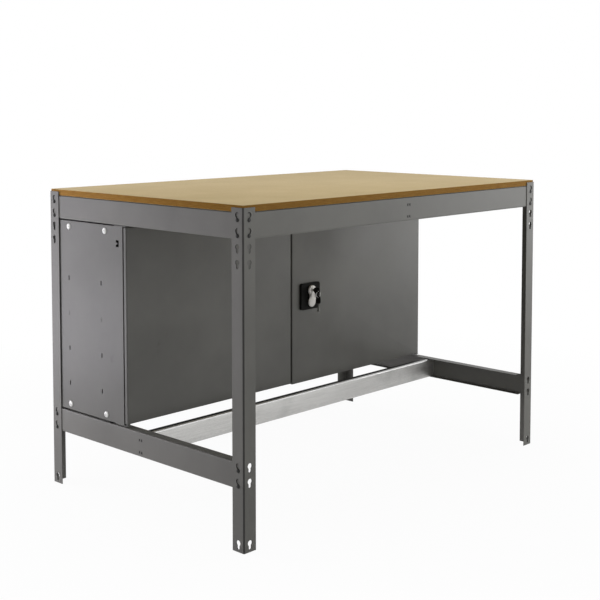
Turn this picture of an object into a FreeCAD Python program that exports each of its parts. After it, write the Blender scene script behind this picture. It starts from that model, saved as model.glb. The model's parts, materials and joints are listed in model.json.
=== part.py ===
import FreeCAD, Part
import os
import re
import Sketcher

# Workbench with a hanging two-door cabinet.
# Millimetres. X runs along the bench, Y to the rear and Z up.
# The origin is on the floor under the middle of the bench.

# Driving dimensions
SIZES = {
    # whole bench and its board
    "bench_length": 1200, "bench_depth": 750, "bench_height": 800,
    "board_thickness": 16, "board_margin": 0.6, "board_round": 1,
    # angle legs and their keyholes
    "leg_width": 38, "leg_sheet": 1.8, "leg_bend": 3, "leg_drop": 6,
    "keyhole_pitch": 36, "keyhole_head_radius": 6.6, "keyhole_slot_radius": 3.8,
    "keyhole_rise": 11.2, "keyhole_floor_margin": 8,
    # channel beams and the rivets on their ends
    "beam_height": 62, "beam_sheet": 1.2, "beam_bend": 3, "beam_top_flange": 27,
    "beam_bottom_flange": 14, "beam_end_gap": 1, "beam_rivet_drop": 18, "lower_rivet_aim": 190,
    "rivet_radius": 3.5, "rivet_head_radius": 4.9, "rivet_crown_radius": 3.2,
    "rivet_head_height": 2.2, "rivet_tail_radius": 5, "rivet_tail_height": 1,
    # crossbars hooked between the beams
    "crossbar_depth": 18, "crossbar_sheet": 1.2, "crossbar_play": 0.8, "crossbar_chamfer": 3.5,
    "crossbar_crease": 17, "crossbar_lean": 1.6, "crossbar_end_gap": 0.2,
    "crossbar_end_sheet": 2, "slit_width": 4.5, "slit_height": 6.5, "slit_spread": 4.2,
    "slit_upper_drop": 20, "slit_lower_drop": 51, "hook_play": 0.3, "hook_recess": 0.6,
    # cabinet shell
    "cabinet_depth": 305, "cabinet_rear_gap": 1.2, "cabinet_sheet": 1, "cabinet_flange": 18,
    "cabinet_lip": 28, "cabinet_top_gap": 3, "pan_gap": 0.7,
    "screw_edge": 15, "screw_front": 73, "screw_rear": 77, "screw_radius": 3,
    "screw_head_radius": 8.2, "screw_crown_radius": 5, "screw_head_height": 2.8,
    "nut_width": 10, "nut_height": 5, "screw_tip": 1.5, "screw_play": 0.3,
    "slot_front": 90, "slot_rear": 75, "slot_width": 3.6, "slot_height": 11.5,
    "slot_first": 72, "slot_last": 152,
    "lug_front": 21, "lug_width": 11.5, "lug_height": 17, "lug_drop": 44, "lug_tongue_width": 5,
    "lug_tongue_length": 6, "back_sheet": 0.8,
    # what holds the cabinet on the lower beams
    "spacer_height": 5, "spacer_radius": 10, "mount_bolt_front": 60, "mount_bolt_rear": 40,
    "mount_head_height": 4,
    # shelf and its clips
    "shelf_height": 25, "shelf_sheet": 1, "shelf_front_gap": 26, "shelf_rear_gap": 5,
    "shelf_side_gap": 0.5, "clip_sheet": 1.2, "clip_width": 16, "clip_ledge": 15,
    "clip_drop": 11, "clip_rise": 8, "clip_play": 0.3,
    # doors
    "door_thickness": 10.5, "door_stand_off": 3.5, "door_sheet": 1, "door_return": 14,
    "door_side_inset": 1, "door_middle_gap": 5, "left_door_lift": 4.5, "right_door_lift": 1,
    "door_top_gap": 2.5, "door_round": 3, "stiffener_width": 44, "stiffener_foot": 10,
    "stiffener_depth": 8, "stiffener_end_gap": 4,
    # door pivots
    "pivot_inset": 6.2, "pivot_depth": 5.25, "pivot_radius": 2.5, "pivot_play": 0.06,
    "pivot_reach": 12, "collar_radius": 4.6, "collar_gap": 0.2, "bush_radius": 4.1,
    "bush_neck_radius": 3.4, "bush_height": 10, "bracket_sheet": 2, "bracket_width": 14,
    "bracket_nose": 7, "bracket_tail": 30, "shell_cover": 13, "bracket_corner": 4,
    "buffer_radius": 4, "buffer_gap": 0.3,
    "buffer_inset": 10, "buffer_edge": 10,
    # lock on the right door
    "lock_inset": 70, "lock_height": 252, "lock_plate_width": 78, "lock_plate_height": 77,
    "lock_plate_depth": 8, "lock_plate_corner": 6, "lock_hole_radius": 8,
    "handle_rise": 18.5, "handle_reach": 36, "handle_radius": 14, "handle_toe_radius": 14,
    "handle_waist": 9.5, "handle_depth": 9, "lever_depth": 6.5, "lever_boss_radius": 9.5,
    "handle_slope": 3.2, "handle_gap": 0.5,
    "spindle_radius": 4, "spindle_play": 0.06, "housing_width": 52, "housing_height": 60,
    "housing_depth": 10, "cam_gap": 0.5, "cam_sheet": 3, "cam_radius": 14,
    "arm_width": 13, "arm_reach": 86.5, "crank_radius": 10, "crank_pin_radius": 2.5,
    "crank_play": 0.5, "crank_pin_tip": 1, "cam_nut_width": 10, "cam_nut_height": 3.5,
    "spindle_tip": 0.5,
    # locking rods and their guides
    "rod_width": 10, "rod_sheet": 3, "rod_lip_gap": 2.8, "rod_eye_width": 16, "rod_eye_rim": 3,
    "rod_end_gap": 2, "rod_play": 0.3, "guide_width": 18, "guide_height": 12,
    "guide_wall": 3, "guide_inset": 58,
    # lock barrel, keys and ring
    "barrel_radius": 6.5, "barrel_play": 0.06, "barrel_depth": 7, "barrel_proud": 0.8,
    "key_play": 0.2, "key_blade_width": 6.8, "key_blade_sheet": 2, "key_blade_length": 23,
    "key_inset": 5.5, "key_neck": 3, "key_bow_width": 17, "key_bow_length": 22,
    "key_bow_sheet": 3, "key_bow_corner": 6, "key_hole_radius": 3.2, "key_hole_edge": 5.5,
    "ring_radius": 8.5, "ring_wire": 0.8, "ring_play": 0.3,
    # how far cutting tools reach past what they cut
    "overrun": 2,
}

# Counts
UPPER_ROWS = 4
BEAM_ROWS = 2
SLOT_ROWS = 4
SHELF_ROWS = 2

# Closer than this, two points are one
TINY = 1e-6

doc = FreeCAD.newDocument("workbench_with_cabinet")
sheet = doc.addObject("Spreadsheet::Sheet", "Sizes")
for row, (alias, size) in enumerate(SIZES.items(), 1):
    sheet.set("A%d" % row, alias)
    sheet.set("B%d" % row, str(size))
    sheet.setAlias("B%d" % row, alias)
doc.recompute()

ALIAS = re.compile(r"\b(?:" + "|".join(sorted(SIZES, key=len, reverse=True)) + r")\b")
AXES = {"X": FreeCAD.Rotation(FreeCAD.Vector(0, 1, 0), 90),
        "Y": FreeCAD.Rotation(FreeCAD.Vector(1, 0, 0), -90),
        "Z": FreeCAD.Rotation()}
PLANES = {"X": "YZ_Plane", "Y": "XZ_Plane", "Z": "XY_Plane"}

# Places that several pieces share, written in the sizes above
LEFT = "(-bench_length / 2)"
FRONT = "(-bench_depth / 2)"
REAR = "(bench_depth / 2)"
LEG_HEIGHT = "(bench_height - leg_drop)"
BOARD_UNDERSIDE = "(bench_height - board_thickness)"
BEAM_FACE_X = "(-bench_length / 2 + leg_sheet)"
BEAM_FACE_Y = "(-bench_depth / 2 + leg_sheet)"
BEAM_INNER_X = "(-bench_length / 2 + leg_sheet + beam_sheet)"
UPPER_BEAM = "(bench_height - board_thickness - beam_height)"
UPPER_RIVET = "(bench_height - board_thickness - beam_rivet_drop)"
LOWER_STEPS = "round((%s - lower_rivet_aim) / keyhole_pitch)" % UPPER_RIVET
LOWER_RIVET = "(%s - %s * keyhole_pitch)" % (UPPER_RIVET, LOWER_STEPS)
LOWER_BEAM_TOP = "(%s + beam_rivet_drop)" % LOWER_RIVET
LOWER_BEAM = "(%s - beam_height)" % LOWER_BEAM_TOP
FLOOR_STEPS = "floor((%s - keyhole_floor_margin) / keyhole_pitch)" % UPPER_RIVET
FLOOR_ROW = "(%s - %s * keyhole_pitch)" % (UPPER_RIVET, FLOOR_STEPS)

SHELL_LEFT = BEAM_INNER_X
SHELL_REAR = "(bench_depth / 2 - leg_sheet - cabinet_rear_gap)"
SHELL_FRONT = "(%s - cabinet_depth)" % SHELL_REAR
SHELL_BOTTOM = "(%s + spacer_height)" % LOWER_BEAM_TOP
SHELL_TOP = "(%s - cabinet_top_gap)" % UPPER_BEAM
SHELL_HEIGHT = "(%s - %s)" % (SHELL_TOP, SHELL_BOTTOM)
PAN_LEFT = "(%s + cabinet_sheet)" % SHELL_LEFT
PAN_FRONT = "(%s + cabinet_sheet)" % SHELL_FRONT
PAN_DEPTH = "(cabinet_depth - 2 * cabinet_sheet)"
PAN_LENGTH = "(-2 * %s)" % PAN_LEFT

DOOR_BACK = "(%s - door_stand_off)" % SHELL_FRONT
DOOR_FACE = "(%s - door_thickness)" % DOOR_BACK
DOOR_SIDE = "(-%s - door_side_inset)" % SHELL_LEFT
DOOR_WIDTH = "(%s - door_middle_gap / 2)" % DOOR_SIDE
DOOR_HEIGHT = "(%s - left_door_lift - door_top_gap)" % SHELL_HEIGHT
DOOR_BOTTOM = {"left": "(%s + left_door_lift)" % SHELL_BOTTOM,
               "right": "(%s + right_door_lift)" % SHELL_BOTTOM}
DOOR_LEFT = {"left": "(-%s)" % DOOR_SIDE, "right": "(door_middle_gap / 2)"}
PIVOT_X = {"left": "(-%s + pivot_inset)" % DOOR_SIDE, "right": "(%s - pivot_inset)" % DOOR_SIDE}
PIVOT_Y = "(%s + pivot_depth)" % DOOR_FACE

LOCK_X = "(door_middle_gap / 2 + lock_inset)"
LOCK_Z = "(%s + lock_height)" % DOOR_BOTTOM["right"]
LOCK_FACE = "(%s - lock_plate_depth)" % DOOR_FACE
SPINDLE_Z = "(%s + handle_rise)" % LOCK_Z
HANDLE_BACK = "(%s - handle_gap)" % LOCK_FACE
HANDLE_FACE = "(%s - handle_depth)" % HANDLE_BACK
CAM_FRONT = "(%s + cam_gap + housing_depth + door_sheet)" % DOOR_FACE
CAM_BACK = "(%s + cam_sheet)" % CAM_FRONT
ROD_FRONT = "(%s + cabinet_sheet + rod_lip_gap)" % PAN_FRONT
CRANK_SIDE = "(crank_radius * sqrt(1 / 2))"
CRANK_MIDDLE = "((crank_radius + %s) / 2)" % CRANK_SIDE
BARREL_FACE = "(%s - barrel_proud)" % HANDLE_FACE
BOW_BACK = "(%s - key_neck)" % BARREL_FACE
KEY_HOLE_Y = "(%s - key_bow_length + key_hole_edge)" % BOW_BACK
RING_TOP = "(%s - key_hole_radius + ring_wire + ring_play)" % SPINDLE_Z
RING_BOTTOM = "(%s - 2 * ring_radius)" % RING_TOP
SPARE_HOLE = "(%s - key_hole_radius + ring_wire + ring_play)" % RING_BOTTOM
SPARE_SHOULDER = "(%s + key_hole_edge - key_bow_length)" % SPARE_HOLE

nodes = []


def size_text(text):
    """Write size names as references to the sheet's cells."""
    return ALIAS.sub(lambda match: "Sizes." + match.group(0), text)


def bind(thing, prop, text):
    """Tie one property to the sheet."""
    if text != "0":
        thing.setExpression(prop, size_text(text))


def place(thing, corner):
    """Tie a piece's place to the sheet."""
    for axis, text in zip("xyz", corner):
        bind(thing, "Placement.Base." + axis, text)


def add_up(*texts):
    """Join size texts into one sum."""
    return "(" + " + ".join(texts) + ")"


def less(text, *others):
    """Take size texts away from the first one."""
    return "(" + " - ".join((text,) + others) + ")"


def shifted(start, axis, distance):
    """The same place, moved along one axis."""
    moved = list(start)
    index = "XYZ".index(axis)
    moved[index] = add_up(moved[index], distance)
    return moved


def box(corner, size, name="block"):
    block = doc.addObject("Part::Box", name)
    for prop, text in zip(("Length", "Width", "Height"), size):
        bind(block, prop, text)
    place(block, corner)
    return block


def rod(start, axis, radius, length, name="rod"):
    """Round bar that runs from its start along one axis."""
    bar = doc.addObject("Part::Cylinder", name)
    bind(bar, "Radius", radius)
    bind(bar, "Height", length)
    bar.Placement = FreeCAD.Placement(FreeCAD.Vector(), AXES[axis])
    place(bar, start)
    return bar


def cone(start, axis, radius, end_radius, length, name="cone"):
    """Tapered disc that runs from its start along one axis."""
    taper = doc.addObject("Part::Cone", name)
    bind(taper, "Radius1", radius)
    bind(taper, "Radius2", end_radius)
    bind(taper, "Height", length)
    taper.Placement = FreeCAD.Placement(FreeCAD.Vector(), AXES[axis])
    place(taper, start)
    return taper


def hexagon(start, axis, width, height, name="hexagon"):
    """Hexagonal block of a given width across its flats."""
    prism = doc.addObject("Part::Prism", name)
    prism.Polygon = 6
    bind(prism, "Circumradius", "(%s) / sqrt(3)" % width)
    bind(prism, "Height", height)
    prism.Placement = FreeCAD.Placement(FreeCAD.Vector(), AXES[axis])
    place(prism, start)
    return prism


def fuse(pieces, name="joined"):
    joined = doc.addObject("Part::MultiFuse", name)
    joined.Shapes = pieces
    return joined


def cut(base, tools, name="trimmed"):
    trimmed = doc.addObject("Part::Cut", name)
    trimmed.Base = base
    trimmed.Tool = tools[0] if len(tools) == 1 else fuse(tools, name + "_tools")
    return trimmed


def group(pieces, name):
    together = doc.addObject("Part::Compound", name)
    together.Links = pieces
    return together


def mirror(source, axis, name="mirrored"):
    """Copy on the other side of the bench's middle plane."""
    twin = doc.addObject("Part::Mirroring", name)
    twin.Source = source
    twin.Normal = AXES[axis].multVec(FreeCAD.Vector(0, 0, 1))
    return twin


def both_sides(piece, name):
    """A piece together with its copy at the other end of the bench."""
    return group([piece, mirror(piece, "X", name + "_right")], name)


def node(piece, label):
    """Name a finished sub-part, which also names its file."""
    piece.Label = label
    nodes.append(piece)
    return piece


def drill(start, axis, radius, depth):
    """Tool for a round hole right through."""
    length = add_up(depth, "2 * overrun")
    return rod(shifted(start, axis, "-overrun"), axis, radius, length, "drill")


def punch(middle, axis, sizes, depth):
    """Tool for a square hole right through, about a middle point on the first face."""
    corner = list(middle)
    extent = [depth] * 3
    across = [index for index in range(3) if "XYZ"[index] != axis]
    for index, size in zip(across, sizes):
        corner[index] = less(middle[index], "%s / 2" % size)
        extent[index] = size
    along = "XYZ".index(axis)
    extent[along] = add_up(depth, "2 * overrun")
    return box(shifted(corner, axis, "-overrun"), extent, "punch")


def edges_through(shape, sketch, corners):
    """Names of the long edges that run through some of a sketch's points."""
    direction = sketch.Placement.Rotation.multVec(FreeCAD.Vector(0, 0, 1))
    found = []
    for corner in corners:
        point = sketch.Placement.multVec(sketch.Geometry[corner].StartPoint)
        for number, edge in enumerate(shape.Edges, 1):
            gaps = [(end.Point - point).cross(direction).Length for end in edge.Vertexes]
            if len(gaps) == 2 and max(gaps) < TINY:
                found.append("Edge%d" % number)
    return found


def outline(points, axis, start, length, name, rounds=()):
    """Extrude an outline along an axis, and round the edges at some of its points."""
    body = doc.addObject("PartDesign::Body", name)
    sketch = body.newObject("Sketcher::SketchObject", name + "_outline")
    plane = [part for part in body.Origin.OriginFeatures if part.Role == PLANES[axis]][0]
    sketch.AttachmentSupport = (plane, [""])
    sketch.MapMode = "FlatFace"
    count = len(points)
    # a rough ring of lines to start from, which the constraints then size
    turns = [FreeCAD.Rotation(FreeCAD.Vector(0, 0, 1), 360 * index / count) for index in range(count)]
    ring = [turn.multVec(FreeCAD.Vector(1, 0, 0)) for turn in turns]
    for index in range(count):
        sketch.addGeometry(Part.LineSegment(ring[index], ring[(index + 1) % count]), False)
    for index in range(count):
        following = (index + 1) % count
        sketch.addConstraint(Sketcher.Constraint("Coincident", index, 2, following, 1))
    for index, point in enumerate(points):
        for kind, text in zip(("DistanceX", "DistanceY"), point):
            number = sketch.addConstraint(Sketcher.Constraint(kind, -1, 1, index, 1, 0))
            bind(sketch, "Constraints[%d]" % number, text)
    pad = body.newObject("PartDesign::Pad", name + "_pad")
    pad.Profile = sketch
    # the sketch plane across Y faces the front, so its pad is turned round
    pad.Reversed = axis == "Y"
    bind(pad, "Length", length)
    doc.recompute()
    for number, (corners, radius) in enumerate(rounds):
        tip = body.Tip
        edges = edges_through(tip.Shape, sketch, corners)
        fillet = body.newObject("PartDesign::Fillet", "%s_round_%d" % (name, number))
        fillet.Base = (tip, edges)
        bind(fillet, "Radius", radius)
        body.Tip = fillet
        doc.recompute()
    place(body, start)
    return body


def channel(height, sheet_size, low_flange, high_flange):
    """Corners of a C section with its web at zero."""
    return [("0", "0"), (low_flange, "0"), (low_flange, sheet_size), (sheet_size, sheet_size),
            (sheet_size, less(height, sheet_size)), (high_flange, less(height, sheet_size)),
            (high_flange, height), ("0", height)]


# Worktop board, which lies inside the corners of the legs
board_width = less("bench_depth", "2 * leg_sheet", "2 * board_margin")
board = outline([("0", "0"), (board_width, "0"), (board_width, "board_thickness"),
                 ("0", "board_thickness")], "X",
                (add_up(LEFT, "leg_sheet", "board_margin"), add_up(FRONT, "leg_sheet", "board_margin"),
                 BOARD_UNDERSIDE),
                less("bench_length", "2 * leg_sheet", "2 * board_margin"), "board",
                [((2, 3), "board_round")])
node(board, "worktop")

# Angle legs with a row of keyholes up each flange
LEG_MIDDLE_X = add_up(LEFT, "leg_width / 2")
LEG_MIDDLE_Y = add_up(FRONT, "leg_width / 2")
UPPER_ROW_HEIGHTS = [less(UPPER_RIVET, "%d * keyhole_pitch" % row) for row in range(UPPER_ROWS)]
LOWER_ROW_HEIGHTS = [less(LOWER_RIVET, "%d * keyhole_pitch" % row) for row in range(BEAM_ROWS)]


def keyhole(axis, height):
    """Tool for one keyhole, narrow below and wide above."""
    low = [LEG_MIDDLE_X, FRONT, height] if axis == "Y" else [LEFT, LEG_MIDDLE_Y, height]
    high = shifted(low, "Z", "keyhole_rise")
    neck = shifted(low, "Z", "keyhole_rise / 2")
    return [drill(low, axis, "keyhole_slot_radius", "leg_sheet"),
            drill(high, axis, "keyhole_head_radius", "leg_sheet"),
            punch(neck, axis, ("(2 * keyhole_slot_radius)", "keyhole_rise"), "leg_sheet")]


leg_angle = outline([("0", "0"), ("leg_width", "0"), ("leg_width", "leg_sheet"),
                     ("leg_sheet", "leg_sheet"), ("leg_sheet", "leg_width"), ("0", "leg_width")],
                    "Z", (LEFT, FRONT, "0"), LEG_HEIGHT, "leg_angle",
                    [((0,), "leg_bend"), ((3,), less("leg_bend", "leg_sheet"))])
keyholes = []
for row_height in UPPER_ROW_HEIGHTS + LOWER_ROW_HEIGHTS + [FLOOR_ROW]:
    keyholes += keyhole("X", row_height) + keyhole("Y", row_height)
leg = node(cut(leg_angle, keyholes, "leg"), "leg_front_left")
leg_right = node(mirror(leg, "X", "leg_right"), "leg_front_right")
node(mirror(leg, "Y", "leg_rear"), "leg_rear_left")
node(mirror(leg_right, "Y", "leg_rear_other"), "leg_rear_right")


def beam(axis, bottom, slits, bolts, name):
    """Channel beam along the front or the left, with rivet holes at both ends."""
    along_x = axis == "X"
    inset = add_up("leg_sheet", "beam_sheet", "beam_end_gap")
    span = "bench_length" if along_x else "bench_depth"
    face = FRONT if along_x else LEFT
    cross = "Y" if along_x else "X"
    first = add_up(LEFT if along_x else FRONT, inset)
    web = add_up(face, "leg_sheet")
    start = (first, web, bottom) if along_x else (web, first, bottom)
    length = less(span, "2 * " + inset)
    section = channel("beam_height", "beam_sheet", "beam_bottom_flange", "beam_top_flange")
    bar = outline(section, axis, start, length, name + "_bar",
                  [((0, 7), "beam_bend"), ((3, 4), less("beam_bend", "beam_sheet"))])
    tools = []
    notch = less("leg_width", inset)
    reach = "beam_top_flange"
    for shift in ("-overrun", less(length, notch)):
        corner = shifted(shifted(start, cross, "beam_sheet"), axis, shift)
        corner = shifted(corner, "Z", "-overrun")
        extent = (add_up(notch, "overrun"), reach) if along_x else (reach, add_up(notch, "overrun"))
        tools.append(box(corner, extent + ("beam_height + 2 * overrun",), "notch"))
    leg_middle = LEG_MIDDLE_X if along_x else LEG_MIDDLE_Y
    for row in range(BEAM_ROWS):
        height = add_up(bottom, less("beam_height", "beam_rivet_drop", "%d * keyhole_pitch" % row))
        for end in (leg_middle, less("0", leg_middle)):
            spot = (end, web, height) if along_x else (web, end, height)
            tools.append(drill(spot, cross, "keyhole_slot_radius", "beam_sheet"))
    if slits:
        for side in ("-slit_spread", "slit_spread"):
            for drop in ("slit_upper_drop", "slit_lower_drop"):
                height = add_up(bottom, less("beam_height", drop))
                spot = (side, web, height) if along_x else (web, side, height)
                tools.append(punch(spot, cross, ("slit_width", "slit_height"), "beam_sheet"))
    if bolts:
        for spot_y in MOUNT_BOLT_Y:
            spot = (MOUNT_BOLT_X, spot_y, add_up(bottom, less("beam_height", "beam_sheet")))
            tools.append(drill(spot, "Z", "screw_radius + screw_play", "beam_sheet"))
    return cut(bar, tools, name)


# Upper beams all round, lower beams at the ends
MOUNT_BOLT_X = add_up(BEAM_FACE_X, "beam_top_flange / 2")
MOUNT_BOLT_Y = (add_up(SHELL_FRONT, "mount_bolt_front"), less(SHELL_REAR, "mount_bolt_rear"))
upper_front = node(beam("X", UPPER_BEAM, True, False, "upper_front"), "upper_beam_front")
node(mirror(upper_front, "Y", "upper_rear"), "upper_beam_rear")
upper_left = node(beam("Y", UPPER_BEAM, False, False, "upper_left"), "upper_beam_left")
node(mirror(upper_left, "X", "upper_right"), "upper_beam_right")
lower_left = node(beam("Y", LOWER_BEAM, True, True, "lower_left"), "lower_beam_left")
node(mirror(lower_left, "X", "lower_right"), "lower_beam_right")


def rivet(axis, height):
    """Rivet of a beam: head outside the leg, tail inside the beam."""
    face = (LEG_MIDDLE_X, FRONT, height) if axis == "Y" else (LEFT, LEG_MIDDLE_Y, height)
    grip = add_up("leg_sheet", "beam_sheet")
    head = cone(shifted(face, axis, "-rivet_head_height"), axis, "rivet_crown_radius",
                "rivet_head_radius", "rivet_head_height", "head")
    shank = rod(face, axis, "rivet_radius", grip, "shank")
    tail = rod(shifted(face, axis, grip), axis, "rivet_tail_radius", "rivet_tail_height", "tail")
    return fuse([head, shank, tail], "rivet")


def all_corners(rivets, name):
    """The rivets of one corner, repeated at the other three."""
    corner = group(rivets, name + "_corner")
    pair = group([corner, mirror(corner, "X")], name + "_pair")
    return group([pair, mirror(pair, "Y")], name)


upper_rivets = [rivet(axis, height) for height in UPPER_ROW_HEIGHTS[:BEAM_ROWS] for axis in "XY"]
node(all_corners(upper_rivets, "upper_rivets"), "upper_beam_rivets")
lower_rivets = [rivet("X", height) for height in LOWER_ROW_HEIGHTS]
node(all_corners(lower_rivets, "lower_rivets"), "lower_beam_rivets")


def crossbar(axis, bottom, beam_top, name):
    """Folded bar between two beams, with hooks in their slits."""
    along_x = axis == "X"
    height = less("beam_height", "2 * beam_sheet", "2 * crossbar_play")
    inner = add_up(BEAM_FACE_X if along_x else BEAM_FACE_Y, "beam_sheet")
    first = add_up(inner, "crossbar_end_gap")
    side = "(-crossbar_depth / 2)"
    base = add_up(bottom, "beam_sheet", "crossbar_play")
    start = (first, side, base) if along_x else (side, first, base)
    length = less("0", "2 * " + first)
    thin = "crossbar_sheet"
    section = [("crossbar_lean", "0"), ("crossbar_depth", "0"), ("crossbar_depth", thin),
               (add_up("crossbar_lean", thin), thin), (thin, "crossbar_crease"),
               (thin, less(height, "crossbar_chamfer")), ("crossbar_chamfer", less(height, thin)),
               ("crossbar_depth", less(height, thin)), ("crossbar_depth", height),
               ("crossbar_chamfer", height), ("0", less(height, "crossbar_chamfer")),
               ("0", "crossbar_crease")]
    pieces = [outline(section, axis, start, length, name + "_bar")]
    plate = (less("crossbar_depth", "crossbar_chamfer"), less(height, "2 * " + thin))
    extent = (plate[0], "crossbar_end_sheet", plate[1])
    if along_x:
        extent = ("crossbar_end_sheet",) + plate
    cross = "Y" if along_x else "X"
    for shift in ("0", less(length, "crossbar_end_sheet")):
        corner = shifted(shifted(shifted(start, cross, "crossbar_chamfer"), "Z", thin), axis, shift)
        pieces.append(box(corner, extent, "end_plate"))
    tab = ("(slit_width - 2 * hook_play)", "(slit_height - 2 * hook_play)")
    reach = less(add_up("crossbar_end_gap", "beam_sheet"), "hook_recess")
    for spread in ("-slit_spread", "slit_spread"):
        for drop in ("slit_upper_drop", "slit_lower_drop"):
            low = less(beam_top, drop, tab[1] + " / 2")
            across = less(spread, tab[0] + " / 2")
            for at in (add_up(less(inner, "beam_sheet"), "hook_recess"), less("0", first)):
                corner = (at, across, low) if along_x else (across, at, low)
                size = (reach, tab[0], tab[1]) if along_x else (tab[0], reach, tab[1])
                pieces.append(box(corner, size, "hook"))
    return fuse(pieces, name)


node(crossbar("X", LOWER_BEAM, LOWER_BEAM_TOP, "low_bar"), "lower_crossbar")
node(crossbar("Y", UPPER_BEAM, BOARD_UNDERSIDE, "board_bar"), "worktop_support_bar")

# Cabinet shell
SCREW_Y = (add_up(SHELL_FRONT, "screw_front"), less(SHELL_REAR, "screw_rear"))
SCREW_Z = {"bottom": add_up(SHELL_BOTTOM, "screw_edge"), "top": less(SHELL_TOP, "screw_edge")}
SLOT_Y = (add_up(SHELL_FRONT, "slot_front"), less(SHELL_REAR, "slot_rear"))
SLOT_PITCH = "((%s - slot_first - slot_last) / %d)" % (SHELL_HEIGHT, SLOT_ROWS - 1)
SLOT_Z = [add_up(SHELL_BOTTOM, "slot_first", "%d * %s" % (row, SLOT_PITCH))
          for row in range(SLOT_ROWS)]
CLEAR_BOLT = "screw_radius + screw_play"

side_blank = box((SHELL_LEFT, SHELL_FRONT, SHELL_BOTTOM),
                 ("cabinet_sheet", "cabinet_depth", SHELL_HEIGHT), "side_blank")
side_tools = []
for hole_y in SCREW_Y:
    for hole_z in SCREW_Z.values():
        side_tools.append(drill((SHELL_LEFT, hole_y, hole_z), "X", CLEAR_BOLT, "cabinet_sheet"))
for slot_y in SLOT_Y:
    for slot_z in SLOT_Z:
        spot = (SHELL_LEFT, slot_y, slot_z)
        side_tools.append(punch(spot, "X", ("slot_width", "slot_height"), "cabinet_sheet"))
LUG_SPOT = (SHELL_LEFT, add_up(SHELL_FRONT, "lug_front"), less(SHELL_TOP, "lug_drop"))
side_tools.append(punch(LUG_SPOT, "X", ("lug_width", "lug_height"), "cabinet_sheet"))
tongue = box((SHELL_LEFT, add_up(LUG_SPOT[1], less("lug_width / 2", "lug_tongue_length")),
              less(LUG_SPOT[2], "lug_tongue_width / 2")),
             ("cabinet_sheet", "lug_tongue_length", "lug_tongue_width"), "tongue")
side = node(fuse([cut(side_blank, side_tools, "side_sheet"), tongue], "side"), "cabinet_side_left")
node(mirror(side, "X", "side_right"), "cabinet_side_right")
STILE_WIDTH = less("cabinet_flange", "cabinet_sheet")
for edge, face in (("front", SHELL_FRONT), ("rear", less(SHELL_REAR, "cabinet_sheet"))):
    stile = box((PAN_LEFT, face, SHELL_BOTTOM), (STILE_WIDTH, "cabinet_sheet", SHELL_HEIGHT),
                edge + "_stile")
    node(both_sides(stile, edge + "_stiles"), "cabinet_%s_stiles" % edge)

# Top and bottom sheets of the shell, each with a rim of rails and ends
RIM_HEIGHT = less("cabinet_lip", "cabinet_sheet")
for level in ("top", "bottom"):
    if level == "top":
        sheet_foot = less(SHELL_TOP, "cabinet_sheet")
        rim_foot = less(SHELL_TOP, "cabinet_lip")
        holes = []
    else:
        sheet_foot = SHELL_BOTTOM
        rim_foot = add_up(SHELL_BOTTOM, "cabinet_sheet")
        holes = [drill((side_x, hole_y, sheet_foot), "Z", CLEAR_BOLT, "cabinet_sheet")
                 for hole_y in MOUNT_BOLT_Y for side_x in (MOUNT_BOLT_X, less("0", MOUNT_BOLT_X))]
    plate = box((PAN_LEFT, PAN_FRONT, sheet_foot), (PAN_LENGTH, PAN_DEPTH, "cabinet_sheet"),
                level + "_plate")
    node(cut(plate, holes, level + "_sheet") if holes else plate, "cabinet_" + level)
    rails = [box((PAN_LEFT, face, rim_foot), (PAN_LENGTH, "cabinet_sheet", RIM_HEIGHT), "rail")
             for face in (PAN_FRONT, less(SHELL_REAR, "2 * cabinet_sheet"))]
    node(group(rails, level + "_rails"), "cabinet_%s_rails" % level)
    end = box((PAN_LEFT, add_up(PAN_FRONT, "cabinet_sheet"), rim_foot),
              ("cabinet_sheet", less(PAN_DEPTH, "2 * cabinet_sheet"), RIM_HEIGHT), "end")
    end_holes = [drill((PAN_LEFT, hole_y, SCREW_Z[level]), "X", CLEAR_BOLT, "cabinet_sheet")
                 for hole_y in SCREW_Y]
    node(both_sides(cut(end, end_holes, level + "_end"), level + "_ends"),
         "cabinet_%s_ends" % level)

BACK_FACE = less(SHELL_REAR, "2 * cabinet_sheet", "back_sheet")
BACK_LEFT = add_up(PAN_LEFT, "cabinet_sheet", "pan_gap")
node(box((BACK_LEFT, BACK_FACE, add_up(SHELL_BOTTOM, "cabinet_sheet")),
         (less("0", "2 * " + BACK_LEFT), "back_sheet", less(SHELL_HEIGHT, "2 * cabinet_sheet")),
         "back"), "cabinet_back")


def nut(start, axis, width, height, bore):
    """Hexagonal nut with a clear bore."""
    return cut(hexagon(start, axis, width, height), [drill(start, axis, bore, height)], "nut")


# Screws and nuts that hold the shell's sides to its rims
screws = []
nuts = []
for spot_y in SCREW_Y:
    for spot_z in SCREW_Z.values():
        face = (SHELL_LEFT, spot_y, spot_z)
        crown = cone(shifted(face, "X", "-screw_head_height"), "X", "screw_crown_radius",
                     "screw_head_radius", "screw_head_height", "crown")
        grip = add_up("2 * cabinet_sheet", "nut_height", "screw_tip")
        screws.append(fuse([crown, rod(face, "X", "screw_radius", grip)], "screw"))
        nuts.append(nut(shifted(face, "X", "2 * cabinet_sheet"), "X", "nut_width", "nut_height",
                        CLEAR_BOLT))
node(both_sides(group(screws, "screws_left"), "screws"), "cabinet_screws")
node(both_sides(group(nuts, "nuts_left"), "nuts"), "cabinet_nuts")

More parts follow.
